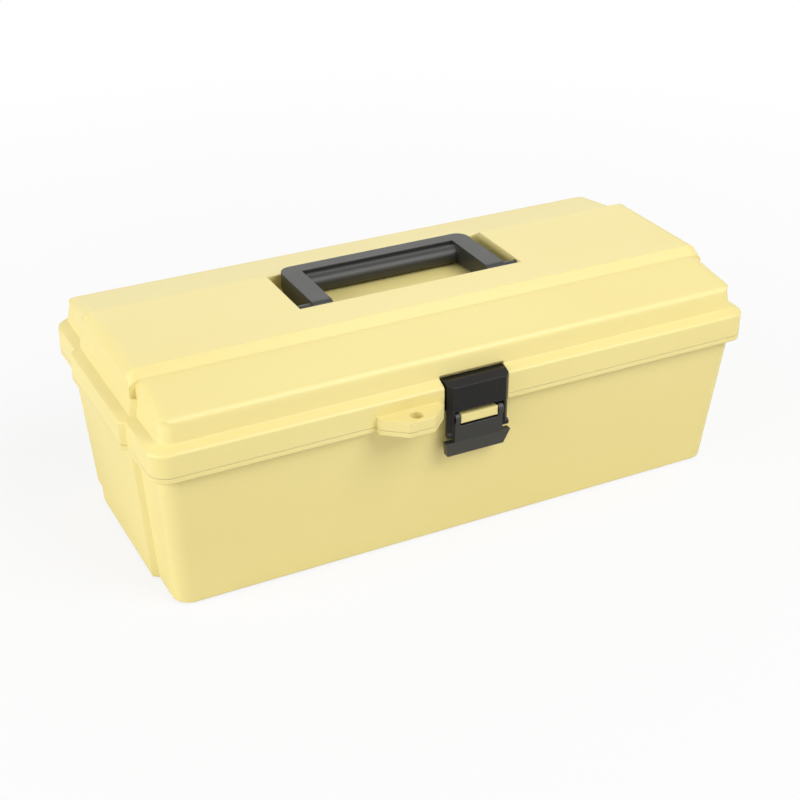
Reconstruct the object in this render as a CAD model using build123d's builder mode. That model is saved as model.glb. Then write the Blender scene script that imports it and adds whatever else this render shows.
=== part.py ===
# Antistatic storage box: a drafted tub, a domed lid on two pinned hinges, a two-piece
# over-centre draw latch and a folding bail handle that lies in a pocket of the lid.
# X runs along the box, Y from front to back, Z up. The box stands on Z = 0, and the
# origin is below the middle of its bounding box.
import os
from math import cos, pi, sin

from build123d import *

os.makedirs("parts", exist_ok=True)

# Walls and clearances
wall = 2.4                    # moulded wall of tub and lid
seam_gap = 0.15               # between the lid's skirt and the tub's flange
running_fit = 0.06            # radial clearance of every pivot
side_play = 0.4               # gap beside each pivoted piece
pivot_room = 0.6              # gap round a part that swings past a wall

# Rim shared by tub and lid
rim_length = 340.0
rim_depth = 160.0
rim_corner = 10.0
panel_step = 3.0              # how far the end panels stand out
panel_width = 84.0            # front to back, on the rim
panel_slope = 2.5             # run of their sloping sides

# Tub
foot_height = 1.2
foot_length = 16.0
foot_width = 7.0
foot_inset_end = 21.0         # from the floor's ends
foot_inset_front = 9.0        # from its long sides
floor_length = 320.0
floor_depth = 139.0
floor_corner = 9.6
tub_height = 82.0             # top of the flange
flange_thickness = 2.6
flange_reach_end = 4.6        # flange beyond the wall at the ends
flange_reach_front = 3.4      # flange beyond the wall at front and back
tongue_height = 5.0           # rib above the flange, inside the lid's skirt
tongue_play = 0.9             # between tongue and skirt
tongue_wall = 1.8
floor_edge_radius = 1.0

# Lid
skirt_height = 12.2           # upright face of the rim
ledge_width = 5.6             # at the front and the ends
ledge_width_back = 2.0
ledge_rise = 2.6
dome_wall_height = 11.6
dome_wall_draft = 1.8
dome_corner = 7.6
facet_rise = 6.0
facet_run = 30.5              # shoulder to the foot of the plateau's bevel
plateau_rise = 4.0
plateau_bevel = 5.5
dome_end_radius = 6.0
round_steps = 4               # flats in a quarter turn of the dome's ends
shoulder_radius = 3.0
rim_edge_radius = 1.4

# Padlock tab, on flange and lid alike
tab_left = -56.0
tab_right = -20.5
tab_reach = 13.0
tab_shoulder = 3.5            # straight sides next to the rim
tab_bevel_left = 12.0
tab_bevel_right = 10.0
tab_thickness = 5.4           # of the lid's half
padlock_hole_radius = 3.3
padlock_hole_x = -37.5
padlock_hole_reach = 6.6      # from the rim's face

# Hinges at the back
hinge_spacing = 190.0         # between the middles of the two hinges
knuckle_radius = 3.4
knuckle_stand_off = 4.0       # axis behind the rim's face
pin_radius = 1.5
tub_knuckle_length = 13.0
lid_knuckle_length = 19.0
web_thickness = 2.6
pin_chamfer = 0.3

# Draw latch
latch_width = 30.6            # front face of the hook
hook_side_flare = 2.2         # each side widens towards the box
hook_depth = 6.6              # front to back
hook_plate = 3.2
hook_leg_width = 3.3
hook_rise = 14.8              # its top above the tub's flange
hook_window_drop = 0.7        # window's upper edge below the flange
hook_front = 3.4              # how far its face stands before the rim
lip_thickness = 3.4
lip_engagement = 2.4          # how far the lip reaches over the lid's catch
latch_recess_depth = 4.4      # recess of the rim behind the hook
recess_play = 0.9             # beside the hook
catch_drop = 0.3              # between the lip and the catch below it
lip_room = 1.5                # above the lip
cut_over = 1.0                # how far a cut runs past the face it opens
hook_bevel = 1.8
hook_bevel_depth = 5.0
lever_pivot_drop = 5.4        # below the tub's flange
lever_pivot_front = 1.2       # axis before the rim's face
hook_pivot_drop = 8.8         # below the lever's axis
hook_pivot_front = 0.4        # further out than the lever's axis
stud_radius = 1.5
hook_stud_radius = 1.1
stud_length = 2.0
arm_width = 2.8
arm_head_radius = 3.2
bar_height = 4.8
lever_window_drop = 4.1       # window's lower edge below the lever's axis
lever_foot_drop = 27.6        # below the tub's flange
lever_plate = 3.6
lever_slope = 2.6             # its foot lies this much nearer to the box
lever_ear_reach = 1.2         # ears stand out beyond the hook's legs
lever_ear_drop = 4.2          # ears below the hook's axis
lever_foot_taper = 2.4

# Folding handle and its pocket
handle_width = 114.0
leg_width = 11.0
leg_thickness = 9.0
handle_reach = 45.0           # axis to the back of the grip
handle_proud = 0.2            # above the plateau
handle_axis_y = -6.6          # from the middle of the rim
grip_radius = 5.2
grip_rail = 8.0               # flat rail behind the round bar
grip_setback = 3.2            # bar's axis before the rail
grip_drop = 6.6               # bar's axis below the handle's top
grip_web = 1.5                # rail goes this far below the bar's axis
pocket_length = 131.0
pocket_draft = 3.0
pocket_floor_play = 0.8       # below the grip
handle_stud_radius = 3.4
handle_stud_set = 0.5         # the studs end this far inside the pocket's wall
handle_corner = 7.0
pocket_corner = 2.0

# Places worked out from the sizes above
half_length = rim_length / 2
half_depth = rim_depth / 2
hinge_reach = knuckle_stand_off + knuckle_radius
rim_middle_y = (tab_reach - hinge_reach) / 2
flange_underside = tub_height - flange_thickness
skirt_bottom = tub_height + seam_gap
skirt_top = skirt_bottom + skirt_height
ledge_top = skirt_top + ledge_rise
shoulder_height = ledge_top + dome_wall_height
facet_top = shoulder_height + facet_rise
plateau_top = facet_top + plateau_rise
wall_top_length = rim_length - 2 * flange_reach_end
wall_top_depth = rim_depth - 2 * flange_reach_front
dome_inset = ledge_width + dome_wall_draft
dome_length = rim_length - 2 * dome_inset
dome_front = half_depth - dome_inset
dome_back = half_depth - ledge_width_back - dome_wall_draft
facet_foot = dome_front - facet_run
cap_low = shoulder_height - shoulder_radius
shoulder_lean = dome_wall_draft / dome_wall_height * shoulder_radius
cap_half_length = dome_length / 2 + shoulder_lean
hinge_y = half_depth + knuckle_stand_off
latch_y = -half_depth
hook_face = latch_y - hook_front
hook_back = hook_face + hook_depth
recess_y = latch_y + latch_recess_depth
recess_width = latch_width + 2 * (hook_side_flare + recess_play)
lip_tip = recess_y + lip_engagement
hook_top = tub_height + hook_rise
hook_window_top = tub_height - hook_window_drop
catch_height = hook_top - lip_thickness - catch_drop
lip_slot_top = hook_top + lip_room
lever_axis = (latch_y - lever_pivot_front, tub_height - lever_pivot_drop)
lever_bottom = tub_height - lever_foot_drop
hook_axis = (lever_axis[0] - hook_pivot_front, lever_axis[1] - hook_pivot_drop)
leg_outside = latch_width / 2 + hook_side_flare
leg_inside = leg_outside - hook_leg_width
arm_outside = leg_inside - side_play
arm_inside = arm_outside - arm_width
bar_half_length = arm_inside - side_play
handle_top = plateau_top + handle_proud
handle_back = handle_axis_y + handle_reach
handle_axis = (handle_axis_y, handle_top - leg_thickness / 2)
grip_axis = (handle_back - grip_rail - grip_setback, handle_top - grip_drop)
pocket_floor = grip_axis[1] - grip_radius - pocket_floor_play
pocket_front = handle_axis_y - leg_thickness / 2 - pivot_room
pocket_back = handle_back + pivot_room
recess_half = recess_width / 2
lever_front = hook_axis[0] - lever_plate / 2
lever_top = lever_axis[1] - lever_window_drop
ear_top = hook_axis[1] - lever_ear_drop
ear_half = leg_outside + lever_ear_reach


def level(height):
    # A horizontal plane over the middle of the rim
    return Plane(origin=(0, rim_middle_y, height))


def side(x):
    # An upright plane across the box: its own x runs to the back, its y up
    return Plane(origin=(x, rim_middle_y, 0), x_dir=(0, 1, 0), z_dir=(1, 0, 0))


def across(y):
    # An upright plane along the box: its own x runs along the box, its y up
    return Plane(origin=(0, rim_middle_y + y, 0), x_dir=(1, 0, 0), z_dir=(0, -1, 0))


def panel_plan(length, depth):
    # A band across the box whose four corners slope back by the panels' step
    x, y = length / 2, depth / 2
    corner_x, corner_y = x - panel_step, y - panel_slope
    Polygon(
        (-x, -corner_y), (-corner_x, -y), (corner_x, -y), (x, -corner_y),
        (x, corner_y), (corner_x, y), (-corner_x, y), (-x, corner_y),
        align=None,
    )


def rim_outline(inset):
    # The rim seen from above, with its end panels
    RectangleRounded(rim_length - 2 * inset, rim_depth - 2 * inset, rim_corner - inset)
    panel_plan(rim_length - 2 * inset + 2 * panel_step, panel_width - 2 * inset)


def rim_slab(low, high, inset, mode=Mode.ADD):
    with BuildSketch(level(low)) as outline:
        rim_outline(inset)
    extrude(outline.sketch, amount=high - low, mode=mode)


def tapered_block(low, high, mode=Mode.ADD):
    # low and high are (height, length, front, back, corner radius) of a rounded block
    sections = []
    for height, length, front, back, corner in (low, high):
        with BuildSketch(level(height)) as section:
            with Locations((0, (back - front) / 2)):
                RectangleRounded(length, front + back, corner)
        sections.append(section.sketch)
    loft(sections, mode=mode)


def tapered_panel(low, high, mode=Mode.ADD):
    # low and high are (height, length, depth) of the band that carries the end panels
    sections = []
    for height, length, depth in (low, high):
        with BuildSketch(level(height)) as section:
            panel_plan(length, depth)
        sections.append(section.sketch)
    loft(sections, mode=mode)


def box_between(x_range, y_range, z_range, mode=Mode.ADD):
    with BuildSketch(level(z_range[0])) as outline:
        with Locations(((x_range[0] + x_range[1]) / 2, (y_range[0] + y_range[1]) / 2)):
            Rectangle(x_range[1] - x_range[0], y_range[1] - y_range[0])
    extrude(outline.sketch, amount=z_range[1] - z_range[0], mode=mode)


def rod(x_from, x_to, centre, radius, mode=Mode.ADD):
    # A cylinder along X; centre is (y, z)
    with BuildSketch(side(x_from)) as outline:
        with Locations(centre):
            Circle(radius)
    extrude(outline.sketch, amount=x_to - x_from, mode=mode)


def slab_along_x(x_from, x_to, points, mode=Mode.ADD):
    # An outline of (y, z) points drawn across the box and run along X
    with BuildSketch(side(x_from)) as outline:
        with BuildLine():
            Polyline(*points, close=True)
        make_face()
    extrude(outline.sketch, amount=x_to - x_from, mode=mode)


def slab_along_y(y_front, y_back, points, mode=Mode.ADD):
    # An outline of (x, z) points drawn along the box and run from back to front
    with BuildSketch(across(y_back)) as outline:
        with BuildLine():
            Polyline(*points, close=True)
        make_face()
    extrude(outline.sketch, amount=y_back - y_front, mode=mode)


def at_both_ends(inner, outer):
    # The x ranges of a piece and of its mirror image
    return ((-outer, -inner), (inner, outer))


def tab_plate(low, high):
    # The padlock tab seen from above
    back = latch_y + rim_corner / 2
    front = latch_y - tab_reach
    with BuildSketch(level(low)) as outline:
        with BuildLine():
            Polyline(
                (tab_left, back),
                (tab_left, latch_y - tab_shoulder),
                (tab_left + tab_bevel_left, front),
                (tab_right - tab_bevel_right, front),
                (tab_right, latch_y - tab_shoulder),
                (tab_right, back),
                close=True,
            )
        make_face()
    extrude(outline.sketch, amount=high - low)


def padlock_hole():
    with BuildSketch(level(flange_underside)) as outline:
        with Locations((padlock_hole_x, latch_y - padlock_hole_reach)):
            Circle(padlock_hole_radius)
    through = flange_thickness + seam_gap + tab_thickness
    extrude(outline.sketch, amount=through, mode=Mode.SUBTRACT)


def hinge_middles():
    return (-hinge_spacing / 2, hinge_spacing / 2)


def tub_form(inset, low, mode):
    # The drafted tub; inset 0 is its outside and inset wall its inside
    top = flange_underside if inset == 0 else tub_height
    corner = floor_corner - inset
    reach_low = floor_depth / 2 - inset
    reach_top = wall_top_depth / 2 - inset
    tapered_block(
        (low, floor_length - 2 * inset, reach_low, reach_low, corner),
        (top, wall_top_length - 2 * inset, reach_top, reach_top, corner),
        mode,
    )
    tapered_panel(
        (low, floor_length + 2 * (panel_step - inset), panel_width - 2 * inset),
        (top, wall_top_length + 2 * (panel_step - inset), panel_width - 2 * inset),
        mode,
    )


# Tub
with BuildPart() as base:
    tub_form(0, foot_height, Mode.ADD)
    floor_edges = base.edges().group_by(Axis.Z)[0]
    fillet(floor_edges, floor_edge_radius)
    rim_slab(flange_underside, tub_height, 0)
    tab_plate(flange_underside, tub_height)
    tongue_inset = wall + tongue_play
    rim_slab(tub_height, tub_height + tongue_height, tongue_inset)
    tub_form(wall, foot_height + wall, Mode.SUBTRACT)
    rim_slab(tub_height, tub_height + tongue_height, tongue_inset + tongue_wall, Mode.SUBTRACT)
    # Recess for the hook, through flange and tongue
    box_between(
        (-recess_half, recess_half),
        (latch_y, recess_y),
        (flange_underside, tub_height),
        Mode.SUBTRACT,
    )
    tongue_gap = recess_half + wall + tongue_play
    box_between(
        (-tongue_gap, tongue_gap),
        (latch_y, recess_y + wall + tongue_play + tongue_wall),
        (tub_height, tub_height + tongue_height),
        Mode.SUBTRACT,
    )
    # Bar that the lever turns on, with a blind hole in each end
    bar_low = lever_axis[1] - bar_height / 2
    box_between(
        (-bar_half_length, bar_half_length),
        (lever_axis[0] - bar_height / 2, -wall_top_depth / 2 + wall / 2),
        (bar_low, bar_low + bar_height),
    )
    for start, stop in at_both_ends(bar_half_length - stud_length, bar_half_length):
        rod(start, stop, lever_axis, stud_radius + running_fit, Mode.SUBTRACT)
    # Feet
    with BuildSketch(level(0)):
        with GridLocations(
            floor_length - 2 * foot_inset_end - foot_length,
            floor_depth - 2 * foot_inset_front - foot_width,
            2, 2,
        ):
            RectangleRounded(foot_length, foot_width, foot_width / 3)
    extrude(amount=foot_height)
    # Hinge knuckles: two on each side of the lid's one
    for middle in hinge_middles():
        for end in (-1, 1):
            inner = middle + end * (lid_knuckle_length / 2 + side_play)
            outer = inner + end * tub_knuckle_length
            start, stop = min(inner, outer), max(inner, outer)
            rod(start, stop, (hinge_y, tub_height), knuckle_radius)
            box_between(
                (start, stop),
                (half_depth - wall, hinge_y),
                (tub_height - knuckle_radius, tub_height - knuckle_radius + web_thickness),
            )
            rod(start, stop, (hinge_y, tub_height), pin_radius, Mode.SUBTRACT)
    padlock_hole()
base.part.label = "base"
export_step(base.part, "parts/base.step")


def lid_form(inset, low, mode):
    # The lid's skirt, ledge and dome; inset 0 is its outside and inset wall its inside
    skirt_end = skirt_top - inset / 2
    rim_slab(low, skirt_end, inset, mode)
    rim_reach = half_depth - inset
    inner_length = rim_length - 2 * (ledge_width + inset)
    inner_front = rim_reach - ledge_width
    inner_back = rim_reach - ledge_width_back
    ledge_end = ledge_top - inset / 2
    panel_depth = panel_width - 2 * inset
    # Ledge, sloping up to the foot of the dome
    tapered_block(
        (skirt_end, rim_length - 2 * inset, rim_reach, rim_reach, rim_corner - inset),
        (ledge_end, inner_length, inner_front, inner_back, dome_corner - inset),
        mode,
    )
    tapered_panel(
        (skirt_end, rim_length + 2 * (panel_step - inset), panel_depth),
        (ledge_end, inner_length + 2 * panel_step, panel_depth),
        mode,
    )
    # Dome wall, up to where the shoulder starts to round over
    top_length = 2 * (cap_half_length - inset)
    top_front = dome_front + shoulder_lean - inset
    top_back = dome_back + shoulder_lean - inset
    tapered_block(
        (ledge_end, inner_length, inner_front, inner_back, dome_corner - inset),
        (cap_low - inset / 2, top_length, top_front, top_back, dome_corner - inset),
        mode,
    )
    tapered_panel(
        (ledge_end, inner_length + 2 * panel_step, panel_depth),
        (cap_low - inset / 2, top_length + 2 * panel_step, panel_depth),
        mode,
    )


def rounded_ends(half, low, inset, points):
    # A profile of (y, z) points run along the box, which sinks to its ends in a round
    radius = dome_end_radius - inset
    rise = plateau_top - cap_low
    sections = []
    for end in (-1, 1):
        for step in range(round_steps + 1):
            turn = pi / 2 * (step if end < 0 else round_steps - step) / round_steps
            sunk = radius * (1 - sin(turn)) / rise
            with BuildSketch(side(end * (half - radius * (1 - cos(turn))))) as section:
                with BuildLine():
                    Polyline(*[(y, z - (z - low) * sunk) for y, z in points], close=True)
                make_face()
            sections.append(section.sketch)
    loft(sections, ruled=True)


def shoulder_round(reach, inset):
    # Points of (distance from the middle, z) from the dome's wall round onto its facet
    slope = facet_rise / (reach - facet_foot)
    start = (reach + shoulder_lean - inset, cap_low - inset / 2)
    corner = (reach - inset, shoulder_height - inset / 2)
    stop = (corner[0] - shoulder_radius, corner[1] + shoulder_radius * slope)
    points = []
    for step in range(round_steps + 1):
        share = step / round_steps
        parts = ((1 - share) ** 2, 2 * share * (1 - share), share ** 2)
        points.append((
            parts[0] * start[0] + parts[1] * corner[0] + parts[2] * stop[0],
            parts[0] * start[1] + parts[1] * corner[1] + parts[2] * stop[1],
        ))
    return points


def dome_cap(inset):
    # The two sloping facets; the profile is trimmed by the dome's rounded plan
    low = cap_low - inset / 2
    foot = facet_foot - inset
    top = facet_top - inset / 2
    front = dome_front + shoulder_lean - inset
    back = dome_back + shoulder_lean - inset
    back_half = shoulder_round(dome_back, inset) + [(foot, top)]
    front_half = [(-y, z) for y, z in reversed(shoulder_round(dome_front, inset))]
    with BuildPart() as cap:
        rounded_ends(cap_half_length - inset, low, inset,
                     back_half + [(-foot, top)] + front_half)
        with BuildSketch(level(low)):
            with Locations((0, (back - front) / 2)):
                RectangleRounded(2 * (cap_half_length - inset), front + back,
                                 dome_corner - inset)
        extrude(amount=facet_top, mode=Mode.INTERSECT)
    return cap.part


def plateau_cap(inset):
    # The raised middle, which carries on into the end panels
    low = cap_low - inset / 2
    foot = panel_width / 2 - panel_slope - inset
    bevel_foot = facet_top - inset
    top = plateau_top - inset
    with BuildPart() as cap:
        rounded_ends(
            cap_half_length + panel_step - inset, low, inset,
            ((-foot, low), (foot, low), (foot, bevel_foot),
             (foot - plateau_bevel, top), (-foot + plateau_bevel, top),
             (-foot, bevel_foot)),
        )
    return cap.part


def edges_at(part, height):
    return part.edges().filter_by_position(Axis.Z, height - seam_gap, height + seam_gap)


# Lid
with BuildPart() as lid_outside:
    lid_form(0, skirt_bottom, Mode.ADD)
    add(dome_cap(0))
    add(plateau_cap(0))
    fillet(edges_at(lid_outside, skirt_top), rim_edge_radius)

with BuildPart() as lid_cavity:
    lid_form(wall, skirt_bottom - wall, Mode.ADD)
    add(dome_cap(wall))
    add(plateau_cap(wall))

# Walls of the handle's pocket and of the recess behind the hook, kept within the dome
with BuildPart() as lid_inner_walls:
    box_between(
        (-pocket_length / 2 - wall, pocket_length / 2 + wall),
        (pocket_front - wall, pocket_back + wall),
        (pocket_floor - wall, plateau_top),
    )
    box_between(
        (-recess_half - wall, recess_half + wall),
        (latch_y, recess_y + wall),
        (skirt_bottom, catch_height),
    )
    box_between(
        (-recess_half - wall, recess_half + wall),
        (latch_y, lip_tip + pivot_room + wall),
        (catch_height - wall, hook_top + lip_room + wall),
    )
    add(lid_outside.part, mode=Mode.INTERSECT)

with BuildPart() as lid:
    add(lid_outside.part)
    tab_plate(skirt_bottom, skirt_bottom + tab_thickness)
    add(lid_cavity.part, mode=Mode.SUBTRACT)
    add(lid_inner_walls.part)
    # Pocket for the handle, with drafted end walls that hold its studs
    pocket_top_half = pocket_length / 2
    pocket_floor_half = pocket_top_half - pocket_draft
    slab_along_y(
        pocket_front, pocket_back,
        ((-pocket_floor_half, pocket_floor), (pocket_floor_half, pocket_floor),
         (pocket_top_half, plateau_top), (pocket_top_half, plateau_top + cut_over),
         (-pocket_top_half, plateau_top + cut_over), (-pocket_top_half, plateau_top)),
        Mode.SUBTRACT,
    )
    for start, stop in at_both_ends(pocket_floor_half, pocket_top_half + wall):
        rod(start, stop, handle_axis, handle_stud_radius + running_fit, Mode.SUBTRACT)
    # Recess of the rim, and the slot above the catch for the hook's lip
    box_between(
        (-recess_half, recess_half),
        (latch_y - cut_over, recess_y),
        (skirt_bottom, ledge_top + cut_over),
        Mode.SUBTRACT,
    )
    box_between(
        (-recess_half, recess_half),
        (latch_y, lip_tip + pivot_room),
        (catch_height, hook_top + lip_room),
        Mode.SUBTRACT,
    )
    # Hinge knuckles, one between the tub's two
    for middle in hinge_middles():
        start = middle - lid_knuckle_length / 2
        stop = middle + lid_knuckle_length / 2
        rod(start, stop, (hinge_y, tub_height), knuckle_radius)
        box_between(
            (start, stop),
            (half_depth - wall, hinge_y),
            (tub_height + knuckle_radius - web_thickness, tub_height + knuckle_radius),
        )
        rod(start, stop, (hinge_y, tub_height), pin_radius + running_fit, Mode.SUBTRACT)
    padlock_hole()
lid.part.label = "lid"
export_step(lid.part, "parts/lid.step")

# Hinge pins, tight in the tub's knuckles
pin_length = lid_knuckle_length + 2 * side_play + 2 * tub_knuckle_length
for name, middle in zip(("hinge_pin_left", "hinge_pin_right"), hinge_middles()):
    with BuildPart() as hinge_pin:
        rod(middle - pin_length / 2, middle + pin_length / 2, (hinge_y, tub_height), pin_radius)
        chamfer(hinge_pin.edges().filter_by(GeomType.CIRCLE), pin_chamfer)
    hinge_pin.part.label = name
    export_step(hinge_pin.part, f"parts/{name}.step")

# Latch lever: two arms on the tub's bar, and a plate to pull below them
with BuildPart() as latch_lever:
    lever_back = lever_front + lever_plate
    slab_along_x(
        -ear_half, ear_half,
        ((lever_front, lever_axis[1]), (lever_front, ear_top),
         (lever_front + lever_slope, lever_bottom), (lever_back + lever_slope, lever_bottom),
         (lever_back, ear_top), (lever_back, lever_axis[1])),
    )
    # Its outline seen from the front: arms, ears and a narrower foot
    foot_half = ear_half - lever_foot_taper
    slab_along_y(
        lever_front, lever_back + lever_slope,
        ((-arm_outside, lever_axis[1]), (-arm_outside, ear_top), (-ear_half, ear_top),
         (-foot_half, lever_bottom), (foot_half, lever_bottom), (ear_half, ear_top),
         (arm_outside, ear_top), (arm_outside, lever_axis[1])),
        Mode.INTERSECT,
    )
    box_between(
        (-arm_inside, arm_inside),
        (lever_front, lever_back),
        (lever_top, lever_axis[1]),
        Mode.SUBTRACT,
    )
    for start, stop in at_both_ends(arm_inside, arm_outside):
        rod(start, stop, lever_axis, arm_head_radius)
    for start, stop in at_both_ends(arm_inside + side_play - stud_length, arm_inside):
        rod(start, stop, lever_axis, stud_radius)
    for start, stop in at_both_ends(arm_outside - stud_length, arm_outside):
        rod(start, stop, hook_axis, hook_stud_radius + running_fit, Mode.SUBTRACT)
latch_lever.part.label = "latch_lever"
export_step(latch_lever.part, "parts/latch_lever.step")

# Latch hook: a plate hollow at the back, with a lip above and two legs below
with BuildPart() as latch_hook:
    leg_back = hook_axis[0] + lever_plate / 2
    with BuildSketch(level(hook_axis[1])) as hook_plan:
        face_half = latch_width / 2
        flare_end = hook_face + hook_side_flare
        with BuildLine():
            Polyline(
                (-face_half, hook_face), (face_half, hook_face),
                (leg_outside, flare_end), (leg_outside, hook_back),
                (-leg_outside, hook_back), (-leg_outside, flare_end),
                close=True,
            )
        make_face()
    extrude(hook_plan.sketch, amount=hook_top - hook_axis[1])
    # Window for the bar and the lever's arms, and the hollow behind the plate
    box_between(
        (-leg_inside, leg_inside),
        (hook_face, hook_back),
        (hook_axis[1], hook_window_top),
        Mode.SUBTRACT,
    )
    box_between(
        (-leg_inside, leg_inside),
        (hook_face + hook_plate, hook_back),
        (hook_window_top, hook_top - lip_thickness),
        Mode.SUBTRACT,
    )
    # Legs no thicker than the lever
    box_between(
        (-leg_outside, leg_outside),
        (leg_back, hook_back),
        (hook_axis[1], hook_window_top),
        Mode.SUBTRACT,
    )
    # Lip over the lid's catch, and the sloping top edge
    box_between(
        (-leg_outside, leg_outside),
        (hook_back, lip_tip),
        (hook_top - lip_thickness, hook_top),
    )
    slab_along_x(
        -leg_outside, leg_outside,
        ((hook_face, hook_top), (hook_face, hook_top - hook_bevel),
         (hook_face + hook_bevel_depth, hook_top)),
        Mode.SUBTRACT,
    )
    # Round leg ends, and the studs that turn in the lever
    for start, stop in at_both_ends(leg_inside, leg_outside):
        rod(start, stop, hook_axis, leg_back - hook_axis[0])
    for start, stop in at_both_ends(leg_inside - stud_length, leg_inside):
        rod(start, stop, hook_axis, hook_stud_radius)
latch_hook.part.label = "latch_hook"
export_step(latch_hook.part, "parts/latch_hook.step")

# Handle, lying back in its pocket
with BuildPart() as handle:
    handle_half = handle_width / 2
    grip_low = grip_axis[1] - grip_radius
    for start, stop in at_both_ends(handle_half - leg_width, handle_half):
        slab_along_x(
            start, stop,
            ((handle_axis_y, handle_top), (handle_back, handle_top),
             (handle_back, grip_axis[1]), (grip_axis[0], grip_low),
             (handle_axis_y, handle_top - leg_thickness)),
        )
        rod(start, stop, handle_axis, leg_thickness / 2)
    rod(-handle_half, handle_half, grip_axis, grip_radius)
    box_between(
        (-handle_half, handle_half),
        (handle_back - grip_rail, handle_back),
        (grip_axis[1] - grip_web, handle_top),
    )
    # Round the two back corners
    with BuildSketch(level(grip_low)) as handle_plan:
        front = handle_axis_y - leg_thickness / 2
        with Locations((0, (front + handle_back) / 2)):
            Rectangle(handle_width, handle_back - front)
        fillet(handle_plan.vertices().group_by(Axis.Y)[-1], handle_corner)
    extrude(handle_plan.sketch, amount=handle_top - grip_low, mode=Mode.INTERSECT)
    for start, stop in at_both_ends(handle_half, pocket_length / 2 + wall - handle_stud_set):
        rod(start, stop, handle_axis, handle_stud_radius)
handle.part.label = "handle"
export_step(handle.part, "parts/handle.step")
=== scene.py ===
# Looks for the antistatic storage box: pale yellow moulded plastic, black latch and handle
import math

import bpy
from mathutils import Matrix, Vector

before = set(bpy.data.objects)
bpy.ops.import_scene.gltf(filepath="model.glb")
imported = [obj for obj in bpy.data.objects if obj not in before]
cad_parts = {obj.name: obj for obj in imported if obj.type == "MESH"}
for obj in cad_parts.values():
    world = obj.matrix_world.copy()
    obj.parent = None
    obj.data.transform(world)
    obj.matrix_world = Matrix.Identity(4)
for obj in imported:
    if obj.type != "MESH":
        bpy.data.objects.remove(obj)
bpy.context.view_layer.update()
print("frame loaded")


class Value:
    # a socket that can be added, multiplied and so on
    def __init__(self, tree, socket):
        self.tree = tree
        self.socket = socket

    def maths(self, operation, first, second):
        return self.tree.node("ShaderNodeMath", {"operation": operation},
                              {0: first, 1: second})[0]

    def __add__(self, other):
        return self.maths("ADD", self, other)

    def __radd__(self, other):
        return self.maths("ADD", other, self)

    def __sub__(self, other):
        return self.maths("SUBTRACT", self, other)

    def __rsub__(self, other):
        return self.maths("SUBTRACT", other, self)

    def __mul__(self, other):
        return self.maths("MULTIPLY", self, other)

    def __rmul__(self, other):
        return self.maths("MULTIPLY", other, self)

    def above(self, edge, soft):
        # 0 below edge - soft, 1 over edge + soft
        return self.tree.node("ShaderNodeMapRange", {"clamp": True},
                              {0: self, 1: edge - soft, 2: edge + soft, 3: 0.0, 4: 1.0})[0]


class Tree:
    def __init__(self, nodeTree):
        self.nodeTree = nodeTree
        nodeTree.nodes.clear()

    def node(self, kind, settings=None, inputs=None):
        # settings first, then the sockets' values or links; returns its outputs
        made = self.nodeTree.nodes.new(kind)
        for key, value in (settings or {}).items():
            setattr(made, key, value)
        for key, value in (inputs or {}).items():
            self.feed(made.inputs[key], value)
        return [Value(self, socket) for socket in made.outputs if socket.enabled]

    def feed(self, socket, value):
        if isinstance(value, Value):
            self.nodeTree.links.new(value.socket, socket)
        else:
            socket.default_value = value

    def noise(self, place, size, detail=3.0, rough=0.5, stretch=(1, 1, 1)):
        # size in metres is about one blob of the pattern
        scaled = self.node("ShaderNodeMapping", None,
                           {"Vector": place, "Scale": tuple(1 / (size * s) for s in stretch)})[0]
        return self.node("ShaderNodeTexNoise", {"noise_dimensions": "3D"},
                         {"Vector": scaled, "Scale": 1.0, "Detail": detail, "Roughness": rough})[0]

    def blend(self, factor, first, second):
        # the node has a set of sockets for each type, of which only the colour set is enabled
        made = self.nodeTree.nodes.new("ShaderNodeMix")
        made.data_type = "RGBA"
        values = {"Factor": factor, "A": first, "B": second}
        for socket in made.inputs:
            if socket.enabled:
                self.feed(socket, values[socket.name])
        return [Value(self, socket) for socket in made.outputs if socket.enabled][0]


def colour(red, green, blue):
    # from the 0-255 numbers of a picture to linear
    def linear(level):
        share = level / 255
        return share / 12.92 if share <= 0.04045 else ((share + 0.055) / 1.055) ** 2.4
    return (linear(red), linear(green), linear(blue), 1.0)


# what all the moulded plastics share: sizes in metres, levels between 0 and 1
moulding = {
    "flowSize": 0.09,                   # broad streaks of the melt along the box
    "flowStretch": (2.2, 1, 1),
    "flowLevel": 0.5,
    "flowSoft": 0.28,
    "cloudSize": 0.02,
    "cloudRough": 0.10,
    "grainRough": 0.05,
    "pebblesPerGrain": 0.6,
    "longScuffSize": 0.0012,
    "longScuffStretch": (26, 1.4, 1),
    "longScuffLevel": 0.71,
    "slantScuffSize": 0.0011,
    "slantScuffStretch": (2, 16, 9),
    "slantScuffLevel": 0.72,
    "scuffSoft": 0.03,
    "scuffPale": 0.10,
    "scuffRough": 0.12,
    "edgeLevel": 0.06,                  # how far a bevelled normal has to lean to count as an edge
    "edgeSoft": 0.05,
    "edgePale": 0.45,
    "bumpStrength": 0.6,
}
# yellow moulded plastic of tub and lid
shellLook = {
    "body": colour(232, 217, 145),
    "deep": colour(229, 212, 136),      # where the melt ran thinner
    "edge": colour(243, 232, 172),      # rubbed edges are paler
    "rough": 0.42,
    "shine": 0.65,
    "grainSize": 0.00055,
    "grainDepth": 0.000012,
    "rounding": 0.0009,
}
# black plastic of the handle and of the latch's lever
blackLook = {
    "body": colour(43, 43, 39),
    "deep": colour(37, 36, 33),
    "edge": colour(96, 94, 90),
    "rough": 0.42,
    "shine": 0.45,
    "grainSize": 0.0004,
    "grainDepth": 0.000010,
    "rounding": 0.0006,
}
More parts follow.
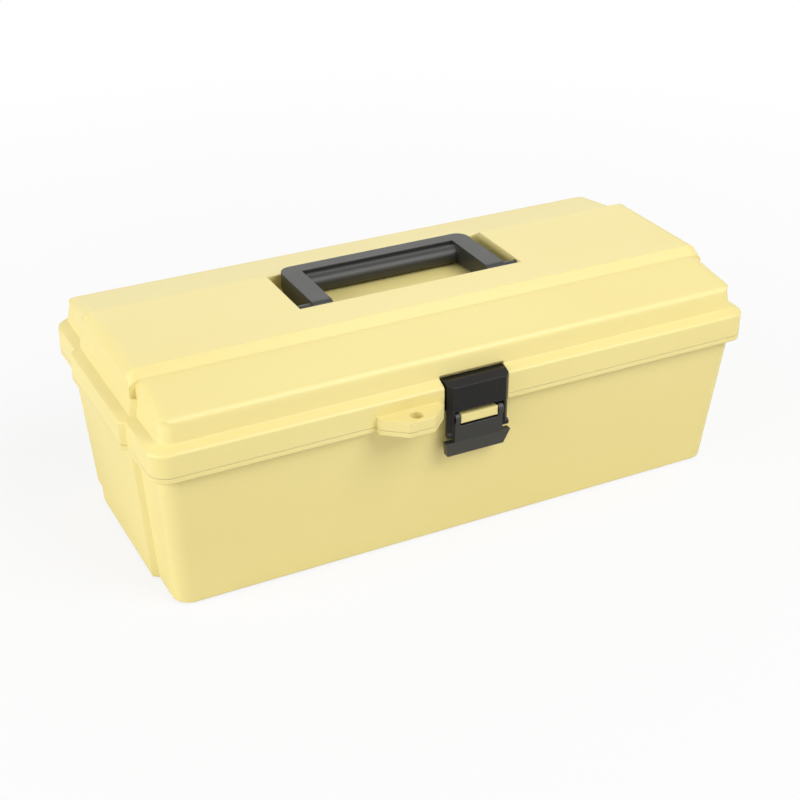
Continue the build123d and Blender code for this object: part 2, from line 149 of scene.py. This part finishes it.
# the hook is darker and smoother
hookLook = {
    "body": colour(16, 15, 14),
    "deep": colour(13, 12, 12),
    "edge": colour(70, 68, 65),
    "rough": 0.36,
    "shine": 0.28,
    "grainSize": 0.0004,
    "grainDepth": 0.000008,
    "rounding": 0.0006,
}
# drawn steel wire of the hinge pins
pinLook = {
    "body": colour(176, 176, 178),
    "dark": colour(128, 127, 126),
    "rough": 0.3,
    "lineSize": 0.0002,
    "lineDepth": 0.00001,
    "lineStretch": (60, 1, 1),
    "spotSize": 0.002,
}


def objectPlace(tree):
    # the object's own coordinates, so the grain stays on a piece that moves
    outputs = tree.node("ShaderNodeTexCoord")
    return [value for value in outputs if value.socket.name == "Object"][0]


def mouldedPlastic(name, look):
    material = bpy.data.materials.new(name)
    material.use_nodes = True
    tree = Tree(material.node_tree)
    place = objectPlace(tree)
    flow = tree.noise(place, moulding["flowSize"], detail=2.0, stretch=moulding["flowStretch"])
    cloud = tree.noise(place, moulding["cloudSize"], detail=4.0)
    grain = tree.noise(place, look["grainSize"], detail=2.0, rough=0.65)
    pebbleScale = moulding["pebblesPerGrain"] / look["grainSize"]
    pebble = tree.node("ShaderNodeTexVoronoi", {"feature": "F1"},
                       {"Vector": place, "Scale": pebbleScale})[0]
    longScuff = tree.noise(place, moulding["longScuffSize"], detail=2.0,
                           stretch=moulding["longScuffStretch"])
    slantScuff = tree.noise(place, moulding["slantScuffSize"], detail=2.0,
                            stretch=moulding["slantScuffStretch"])
    scuff = (longScuff.above(moulding["longScuffLevel"], moulding["scuffSoft"])
             + slantScuff.above(moulding["slantScuffLevel"], moulding["scuffSoft"]))

    # rounded edges, and a mask of where they are
    softEdge = tree.node("ShaderNodeBevel", {"samples": 6}, {"Radius": look["rounding"]})[0]
    flat = tree.node("ShaderNodeNewGeometry")[1]
    likeness = tree.node("ShaderNodeVectorMath", {"operation": "DOT_PRODUCT"},
                         {0: softEdge, 1: flat})[0]
    lean = (1.0 - likeness).above(moulding["edgeLevel"], moulding["edgeSoft"])
    edge = lean * (0.35 + 0.65 * cloud)

    streak = flow.above(moulding["flowLevel"], moulding["flowSoft"])
    mixed = tree.blend(streak, look["body"], look["deep"])
    mixed = tree.blend(edge * moulding["edgePale"], mixed, look["edge"])
    mixed = tree.blend(scuff * moulding["scuffPale"], mixed, look["edge"])
    rough = (look["rough"] + moulding["cloudRough"] * (cloud - 0.5)
             + moulding["grainRough"] * (grain - 0.5) + moulding["scuffRough"] * scuff)
    height = grain * 0.6 + pebble * 0.4 - scuff * 0.25
    normal = tree.node("ShaderNodeBump", None,
                       {"Strength": moulding["bumpStrength"], "Distance": look["grainDepth"],
                        "Height": height, "Normal": softEdge})[0]
    shader = tree.node("ShaderNodeBsdfPrincipled", None,
                       {"Base Color": mixed, "Roughness": rough, "Normal": normal,
                        "Specular IOR Level": look["shine"]})[0]
    tree.node("ShaderNodeOutputMaterial", None, {"Surface": shader})
    return material


def drawnSteel(name, look):
    material = bpy.data.materials.new(name)
    material.use_nodes = True
    tree = Tree(material.node_tree)
    place = objectPlace(tree)
    lines = tree.noise(place, look["lineSize"], detail=3.0, stretch=look["lineStretch"])
    spots = tree.noise(place, look["spotSize"], detail=3.0)
    mixed = tree.blend(lines * spots, look["body"], look["dark"])
    rough = look["rough"] + 0.25 * (spots - 0.5) + 0.1 * lines
    normal = tree.node("ShaderNodeBump", None,
                       {"Strength": 0.4, "Distance": look["lineDepth"], "Height": lines})[0]
    shader = tree.node("ShaderNodeBsdfPrincipled", None,
                       {"Base Color": mixed, "Roughness": rough, "Normal": normal,
                        "Metallic": 1.0})[0]
    tree.node("ShaderNodeOutputMaterial", None, {"Surface": shader})
    return material


yellowPlastic = mouldedPlastic("yellowPlastic", shellLook)
blackPlastic = mouldedPlastic("blackPlastic", blackLook)
hookPlastic = mouldedPlastic("hookPlastic", hookLook)
pinSteel = drawnSteel("pinSteel", pinLook)
finishOf = {
    "base": yellowPlastic,
    "lid": yellowPlastic,
    "handle": blackPlastic,
    "latch_lever": blackPlastic,
    "latch_hook": hookPlastic,
    "hinge_pin_left": pinSteel,
    "hinge_pin_right": pinSteel,
}
for nodeName, finish in finishOf.items():
    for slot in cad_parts[nodeName].material_slots:
        slot.material = finish
print("materials made")


# floor and background
room = {
    "floorSize": 6.0,
    "floorColour": (0.74, 0.74, 0.74, 1.0),
    "whiteShare": 0.84,                 # plain white share of the floor under the box
    "fadeMiddle": 0.50,                 # where the floor is halfway to plain white
    "fadeHalf": 0.28,
    "skyStrength": 0.40,                # what lights the box; the camera sees a white sky
}
half = room["floorSize"] / 2
floorCorners = [(-half, -half, 0), (half, -half, 0), (half, half, 0), (-half, half, 0)]
floorMesh = bpy.data.meshes.new("floor")
floorMesh.from_pydata(floorCorners, [], [(0, 1, 2, 3)])
floor = bpy.data.objects.new("floor", floorMesh)
bpy.context.scene.collection.objects.link(floor)
floorPaint = bpy.data.materials.new("floorPaint")
floorPaint.use_nodes = True
tree = Tree(floorPaint.node_tree)
seen = tree.node("ShaderNodeLightPath")[0]
paper = tree.node("ShaderNodeBsdfDiffuse", None, {"Color": room["floorColour"]})[0]
white = tree.node("ShaderNodeEmission", None, {"Color": (1, 1, 1, 1), "Strength": 1.0})[0]
point = tree.node("ShaderNodeNewGeometry")[0]
reach = tree.node("ShaderNodeVectorMath", {"operation": "LENGTH"}, {0: point})[0]
far = reach.above(room["fadeMiddle"], room["fadeHalf"])
share = room["whiteShare"] + (1 - room["whiteShare"]) * far
mixed = tree.node("ShaderNodeMixShader", None, {0: seen * share, 1: paper, 2: white})[0]
tree.node("ShaderNodeOutputMaterial", None, {"Surface": mixed})
floorMesh.materials.append(floorPaint)

world = bpy.data.worlds.new("studio")
bpy.context.scene.world = world
world.use_nodes = True
tree = Tree(world.node_tree)
rays = tree.node("ShaderNodeLightPath")
names = [value.socket.name for value in rays]
shown = (rays[names.index("Is Camera Ray")] + rays[names.index("Is Glossy Ray")]
         + rays[names.index("Is Transmission Ray")])
strength = room["skyStrength"] + (1 - room["skyStrength"]) * shown
sky = tree.node("ShaderNodeBackground", None,
                {"Color": (1, 1, 1, 1), "Strength": strength})[0]
tree.node("ShaderNodeOutputWorld", None, {"Surface": sky})

# soft boxes: place, aim, size in metres and power in watts
lamps = {
    "backBox": ((0.55, 1.45, 0.95), (0, 0, 0.1), 1.5, 4.5),
    "frontTop": ((0.60, -1.0, 1.35), (0.02, 0, 0.1), 1.1, 20.5),
    "frontLow": ((0.9, -1.7, 0.30), (0.02, 0, 0.05), 1.0, 2.0),
    "leftFill": ((-1.7, -0.1, 0.55), (-0.1, 0, 0.06), 1.0, 20.0),
}
for lampName, (spot, aim, size, power) in lamps.items():
    lampData = bpy.data.lights.new(lampName, "AREA")
    lampData.shape = "SQUARE"
    lampData.size = size
    lampData.energy = power
    lamp = bpy.data.objects.new(lampName, lampData)
    lamp.location = spot
    lamp.rotation_euler = (Vector(aim) - Vector(spot)).to_track_quat("-Z", "Y").to_euler()
    bpy.context.scene.collection.objects.link(lamp)

# the photograph's camera: angles in degrees, lens and sensor in millimetres
view = {
    "turn": 27.303,
    "down": 29.365,
    "roll": 0.263,
    "lens": 68.46,
    "sensor": 36.0,
    "target": (-0.00544, -0.00391, 0.04775),
    "distance": 0.837,
}
turn, down, roll = (math.radians(view[key]) for key in ("turn", "down", "roll"))
forward = Vector((math.sin(turn) * math.cos(down), math.cos(turn) * math.cos(down),
                  -math.sin(down)))
right = Vector((math.cos(turn), -math.sin(turn), 0))
upward = right.cross(forward)
rolledRight = math.cos(roll) * right + math.sin(roll) * upward
rolledUp = math.cos(roll) * upward - math.sin(roll) * right
cameraData = bpy.data.cameras.new("camera")
cameraData.lens = view["lens"]
cameraData.sensor_width = view["sensor"]
cameraData.clip_start = 0.01
camera = bpy.data.objects.new("camera", cameraData)
facing = Matrix((rolledRight, rolledUp, -forward)).transposed()
camera.rotation_euler = facing.to_euler()
camera.location = Vector(view["target"]) - view["distance"] * forward
bpy.context.scene.collection.objects.link(camera)
bpy.context.scene.camera = camera
bpy.context.scene.view_settings.view_transform = "Standard"
print("camera and lights set")
